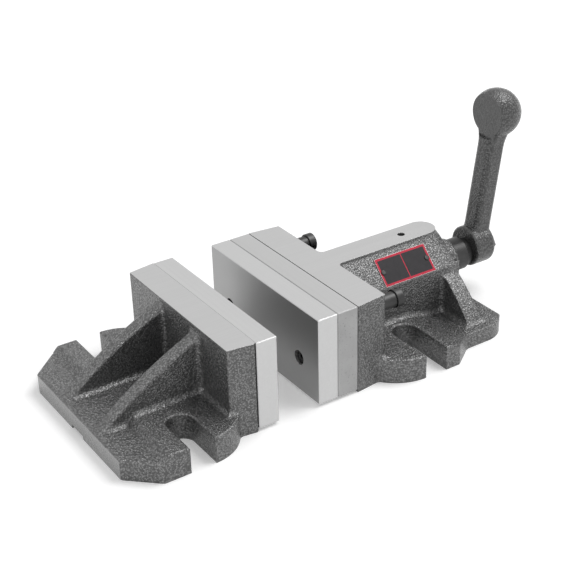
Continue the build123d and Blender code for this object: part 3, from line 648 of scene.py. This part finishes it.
# %% A form
class Form(Tree):
    """A shape made by Geometry Nodes, with named sizes."""

    def __init__(self, name, **sizes):
        super().__init__(bpy.data.node_groups.new(name, "GeometryNodeTree"))
        sockets = self.tree.interface
        sockets.new_socket("Shape", in_out="OUTPUT", socket_type="NodeSocketGeometry")
        sockets.new_socket("Start", in_out="INPUT", socket_type="NodeSocketGeometry")
        self.sizes = {}
        for label, size in sizes.items():
            kind = "NodeSocketInt" if isinstance(size, int) else "NodeSocketFloat"
            socket = sockets.new_socket(label, in_out="INPUT", socket_type=kind)
            self.sizes[socket.identifier] = size
        group = self.node("NodeGroupInput", output=None)
        self.start, *self.inputs = (Value(self, output) for output in group.outputs[:-1])

    def sideways(self, x):
        """A vector along x."""
        return self.node("ShaderNodeCombineXYZ", {}, {"X": x})

    def piece(self, name, start, shape, material):
        """Ends the tree, runs it once on the starting mesh and keeps the result as a plain mesh."""
        whole = self.node("GeometryNodeRealizeInstances", {}, {"Geometry": shape})
        dressed = self.node("GeometryNodeSetMaterial", {}, {"Geometry": whole, "Material": material})
        self.node("NodeGroupOutput", {}, {"Shape": dressed}, None)
        piece = bpy.data.objects.new(name, start)
        bpy.context.scene.collection.objects.link(piece)
        modifier = piece.modifiers.new(name, "NODES")
        modifier.node_group = self.tree
        for identifier, size in self.sizes.items():
            modifier[identifier] = size
        evaluated = piece.evaluated_get(bpy.context.evaluated_depsgraph_get())
        result = bpy.data.meshes.new_from_object(evaluated)
        result.materials.clear()
        result.materials.append(material)
        result.polygons.foreach_set("material_index", [0] * len(result.polygons))
        piece.modifiers.remove(modifier)
        piece.data = result
        print(name, "has", len(result.polygons), "faces")
        return piece


# %% [markdown]
# ## The lead screw
#
# The screw pushes the jaw through its nose, and a split ring in the groove behind the nose draws it
# back. The long part carries a trapezoidal thread. The body is a stack of rings, with a square tang
# that the handle sits on, and the thread is a trapezoid that is swept along a spiral round it. It
# starts one turn behind the groove and stops two turns before the shank.

# %% Turn the lead screw
screw_low, screw_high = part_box("lead_screw")
SCREW_AXIS = (screw_low.z + screw_high.z) / 2
NOSE_LENGTH = 6.0 * MM
GROOVE_LENGTH = 5.1 * MM
SHANK_LENGTH = 26.0 * MM
NECK_LENGTH = 5.0 * MM
NOSE_END = screw_low.y + NOSE_LENGTH
THREAD_START = NOSE_END + GROOVE_LENGTH
SHANK_START = 279.5 * MM
SHANK_END = SHANK_START + SHANK_LENGTH
TANG_START = SHANK_END + NECK_LENGTH
NOSE_RADIUS = 10.0 * MM
GROOVE_RADIUS = 7.0 * MM
ROOT_RADIUS = 8.5 * MM
CREST_RADIUS = 11.0 * MM
SHANK_RADIUS = 13.8 * MM
SHANK_EDGE = 1.6 * MM
NECK_RADIUS = 11.6 * MM
TANG_HALF = 8.0 * MM
TAPPED_RADIUS = 4.05 * MM
TAPPED_DEPTH = 16.0 * MM
square = flat_sided(4)
screw_rings = (
    (screw_low.y, NOSE_RADIUS, round_ring),
    (NOSE_END, NOSE_RADIUS, round_ring),
    (NOSE_END, GROOVE_RADIUS, round_ring),
    (THREAD_START, GROOVE_RADIUS, round_ring),
    (THREAD_START, ROOT_RADIUS, round_ring),
    (SHANK_START, ROOT_RADIUS, round_ring),
    (SHANK_START, SHANK_RADIUS, round_ring),
    (SHANK_END - SHANK_EDGE, SHANK_RADIUS, round_ring),
    (SHANK_END, SHANK_RADIUS - SHANK_EDGE, round_ring),
    (SHANK_END, NECK_RADIUS, round_ring),
    (TANG_START, NECK_RADIUS, round_ring),
    (TANG_START, TANG_HALF, square),
    (screw_high.y, TANG_HALF, square),
    (screw_high.y, TAPPED_RADIUS, round_ring),
    (screw_high.y - TAPPED_DEPTH, TAPPED_RADIUS, round_ring),
)
screw_body = turned_mesh("lead_screw_body", screw_rings)
screw_body.transform(Matrix.Translation((0, 0, SCREW_AXIS)))

# %% Sweep the thread round it
PITCH = 5.0 * MM
THREAD_DEPTH = CREST_RADIUS - ROOT_RADIUS
ROOT_SHARE = 0.63
CREST_SHARE = 0.37
THREAD_SINK = 0.2 * MM
THREAD_MIDDLE = (CREST_RADIUS + ROOT_RADIUS - THREAD_SINK) / 2
PLAIN_TURNS = 3
THREAD_TURNS = (SHANK_START - THREAD_START) / PITCH - PLAIN_TURNS
thread = Form("trapezoidal_thread", Turns=THREAD_TURNS, Pitch=PITCH, Middle=THREAD_MIDDLE)
rotations, pitch, middle = thread.inputs
spiral = thread.node(
    "GeometryNodeCurveSpiral",
    {},
    {
        "Resolution": RING_POINTS // 2,
        "Rotations": rotations,
        "Start Radius": middle,
        "End Radius": middle,
        "Height": rotations * pitch,
    },
)
upright = thread.node("GeometryNodeSetCurveNormal", {"mode": "Z_UP"}, {"Curve": spiral})
tooth = thread.node(
    "GeometryNodeCurvePrimitiveQuadrilateral",
    {"mode": "TRAPEZOID"},
    {
        "Height": THREAD_DEPTH + THREAD_SINK,
        "Bottom Width": pitch * ROOT_SHARE,
        "Top Width": pitch * CREST_SHARE,
        "Offset": 0.0,
    },
)
outward = thread.node("GeometryNodeTransform", {}, {"Geometry": tooth, "Rotation": (0, 0, -pi / 2)})
swept = thread.node(
    "GeometryNodeCurveToMesh",
    {},
    {"Curve": upright, "Profile Curve": outward, "Fill Caps": True},
)
helix = thread.node(
    "GeometryNodeTransform",
    {},
    {
        "Geometry": swept,
        "Translation": (0, THREAD_START + PITCH, SCREW_AXIS),
        "Rotation": (-pi / 2, 0, 0),
    },
)
both = thread.node("GeometryNodeJoinGeometry", {}, {"Geometry": [thread.start, helix]})
lead_screw = thread.piece("threaded_lead_screw", screw_body, both, dark_steel)
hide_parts("lead_screw")
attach(lead_screw, "screw_and_handle")
radii = [
    Vector((point.co.x, point.co.z - SCREW_AXIS)).length
    for point in lead_screw.data.vertices
    if point.co.y < SHANK_START - PITCH
]
print("thread reaches a radius of", round(max(radii) / MM, 2), "mm")

# %% [markdown]
# ## Cap screws of the jaw plates
#
# Each plate is held by two cap screws in counterbores. Their heads are knurled, so that fingers can
# start them, and have a hexagon socket. One screw is a stack of rings, from its tip to the bottom of
# the socket, and Geometry Nodes set it on both points of a line.

# %% Make one cap screw
HEAD_RADIUS = 5.2 * MM
HEAD_HEIGHT = 6.4 * MM
HEAD_EDGE = 0.5 * MM
STEM_RADIUS = 3.2 * MM
SOCKET_HALF = 2.5 * MM
SOCKET_DEPTH = 3.2 * MM
LEAD_IN = 0.4 * MM
screws_low, screws_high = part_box("fixed_plate_screws")
SCREW_LENGTH = screws_high.y - screws_low.y
STEM_LENGTH = SCREW_LENGTH - HEAD_HEIGHT
hexagon = flat_sided(6)
cap_rings = (
    (0.0, STEM_RADIUS - LEAD_IN, round_ring),
    (LEAD_IN, STEM_RADIUS, round_ring),
    (STEM_LENGTH, STEM_RADIUS, round_ring),
    (STEM_LENGTH, HEAD_RADIUS - LEAD_IN, round_ring),
    (STEM_LENGTH + LEAD_IN, HEAD_RADIUS, knurled_ring),
    (SCREW_LENGTH - HEAD_EDGE * 2, HEAD_RADIUS, knurled_ring),
    (SCREW_LENGTH - HEAD_EDGE * 2, HEAD_RADIUS * KNURL_BOTTOM, round_ring),
    (SCREW_LENGTH - HEAD_EDGE, HEAD_RADIUS - HEAD_EDGE * 0.7, round_ring),
    (SCREW_LENGTH, HEAD_RADIUS - HEAD_EDGE * 1.6, round_ring),
    (SCREW_LENGTH, SOCKET_HALF + LEAD_IN, hexagon),
    (SCREW_LENGTH - LEAD_IN, SOCKET_HALF, hexagon),
    (SCREW_LENGTH - SOCKET_DEPTH, SOCKET_HALF, hexagon),
)


# %% Set the cap screws in their plates
def plate_screws(name, node, body, turn):
    """Two cap screws where the node's screws are, with their heads turned by an angle round z."""
    low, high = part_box(node)
    middle = (low + high) / 2
    tip = low.y if turn == 0.0 else high.y
    spacing = high.x - low.x - 2 * HEAD_RADIUS
    row = Form(name + "_row", Count=2, Spacing=spacing)
    count, gap = row.inputs
    points = row.node(
        "GeometryNodeMeshLine",
        {"mode": "OFFSET"},
        {"Count": count, "Start Location": row.sideways(gap * -0.5), "Offset": row.sideways(gap)},
        "Mesh",
    )
    instances = row.node("GeometryNodeInstanceOnPoints", {}, {"Points": points, "Instance": row.start})
    placed = row.node(
        "GeometryNodeTransform",
        {},
        {"Geometry": instances, "Translation": (0, tip, middle.z), "Rotation": (0, 0, turn)},
    )
    screws = row.piece(name, turned_mesh(name + "_screw", cap_rings), placed, black_steel)
    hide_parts(node)
    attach(screws, body)


plate_screws("fixed_cap_screws", "fixed_plate_screws", "fixed_unit", 0.0)
plate_screws("moving_cap_screws", "moving_plate_screws", "moving_jaw", pi)

# %% [markdown]
# ## Floor and light
#
# The photograph has a white ground and very soft light from all round, a little stronger from above
# and from the camera's left. The floor is a pale plane, and it glows more and more with the distance
# from the vise, so that it stays white where the lamps don't reach. The world is white where the camera
# or a reflection looks at it, and dimmer as a light, so that the lamps still give the shapes some shade.

# %% Make the floor
FLOOR_HALF = 6.0
FLOOR_TONE = 0.9
FLOOR_GLOW = 0.25
GLOW_RISES_BETWEEN = (0.7, 2.2)


def seen_plainly(finish):
    """1 for rays from the camera, a reflection or glass, and 0 for the rays that carry light."""
    rays = finish.node("ShaderNodeLightPath", output=None).outputs
    seen, mirrored, through = (
        Value(finish, rays[name])
        for name in ("Is Camera Ray", "Is Glossy Ray", "Is Transmission Ray")
    )
    return finish.math("MAXIMUM", finish.math("MAXIMUM", seen, mirrored), through)


floor_mesh = bpy.data.meshes.new("floor")
ends = (-FLOOR_HALF, FLOOR_HALF)
floor_mesh.from_pydata([(x, y, 0) for x in ends for y in ends], [], [(0, 2, 3, 1)])
floor = bpy.data.objects.new("floor", floor_mesh)
bpy.context.scene.collection.objects.link(floor)
pale = Finish("pale_floor")
away = pale.node("ShaderNodeVectorMath", {"operation": "LENGTH"}, {0: pale.place}, "Value")
glow = pale.colour(pale.smooth(away, *GLOW_RISES_BETWEEN), grey(FLOOR_GLOW), grey(1.0))
glow = pale.colour(seen_plainly(pale), grey(0.0), glow)
floor_paint = pale.surface(
    Base_Color=grey(FLOOR_TONE),
    Roughness=0.9,
    Emission_Color=glow,
    Emission_Strength=1.0,
)
floor_mesh.materials.append(pale.finished(floor_paint))

# %% Make the sky
SKY_LIGHT = 0.42
world = bpy.data.worlds.new("studio")
sky = Finish("studio", world)
strength = SKY_LIGHT + (1 - SKY_LIGHT) * seen_plainly(sky)
background = sky.node("ShaderNodeBackground", {}, {"Color": grey(1.0), "Strength": strength})
sky.finished(background, "ShaderNodeOutputWorld")
bpy.context.scene.world = world


# %% Hang the lamps
def softbox(name, place, target, size, power):
    """A square lamp that shines from its place towards a target."""
    lamp = bpy.data.lights.new(name, "AREA")
    lamp.size = size
    lamp.energy = power
    box = bpy.data.objects.new(name, lamp)
    box.location = place
    box.rotation_euler = (Vector(target) - Vector(place)).to_track_quat("-Z", "Y").to_euler()
    bpy.context.scene.collection.objects.link(box)


softbox("overhead", place=(0.40, 1.6, 2.8), target=(0, 0.15, 0), size=1.8, power=62)
softbox("front_left", place=(1.0, -3.0, 1.5), target=(0, 0.1, 0.05), size=2.0, power=18)
